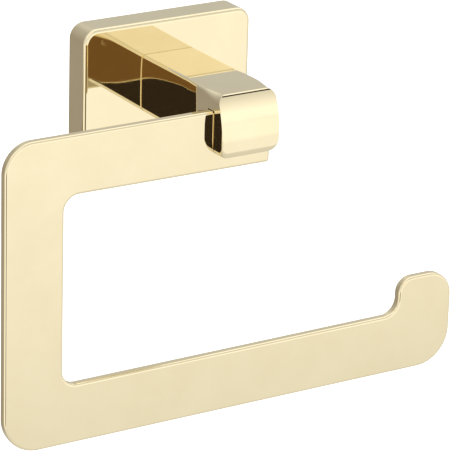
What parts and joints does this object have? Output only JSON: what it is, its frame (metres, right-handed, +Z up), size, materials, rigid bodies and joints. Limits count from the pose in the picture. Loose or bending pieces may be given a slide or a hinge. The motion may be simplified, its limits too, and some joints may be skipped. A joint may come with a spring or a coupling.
{
  "type": "toilet paper holder",
  "caption": "Wall-mounted toilet paper holder: rectangular rosette, square arm with a hooked nose, and a flat C-shaped roll frame with an upturned tip.",
  "frame": {"origin": "on the wall plane, at the centre of the rosette and of the wall bracket's back face", "axes": "+Z up, +X to the right along the wall as seen from the room, +Y into the wall"},
  "size_m": [0.1518, 0.0793, 0.1072],
  "materials": {
    "polished_gold": "mirror polished, pale gold plated",
    "zinc_steel": "bright zinc plated",
    "dark_steel": "black oxide",
    "nylon": "moulded nylon, light grey"
  },
  "bodies": {
    "wall_fixing": {"wall_bracket": "zinc_steel", "wall_screw_left": "zinc_steel", "wall_screw_right": "zinc_steel", "wall_plug_left": "nylon", "wall_plug_right": "nylon"},
    "holder": {"rosette_cover": "polished_gold", "hook_arm": "polished_gold", "locating_pin": "zinc_steel", "tie_screw": "zinc_steel", "tie_screw_washer": "zinc_steel", "tie_screw_lock_washer": "dark_steel", "roll_frame": "polished_gold"},
    "lock_screw": {"cover_lock_screw": "dark_steel"}
  },
  "joints": [
    {"name": "holder_lift_off", "type": "slide", "parent": "wall_fixing", "child": "holder", "axis": [0, -1, 0], "range_m": [0, 0.015]},
    {"name": "lock_screw_back_out", "type": "slide", "parent": "holder", "child": "lock_screw", "axis": [0, 0, -1], "range_m": [0, 0.004]}
  ]
}
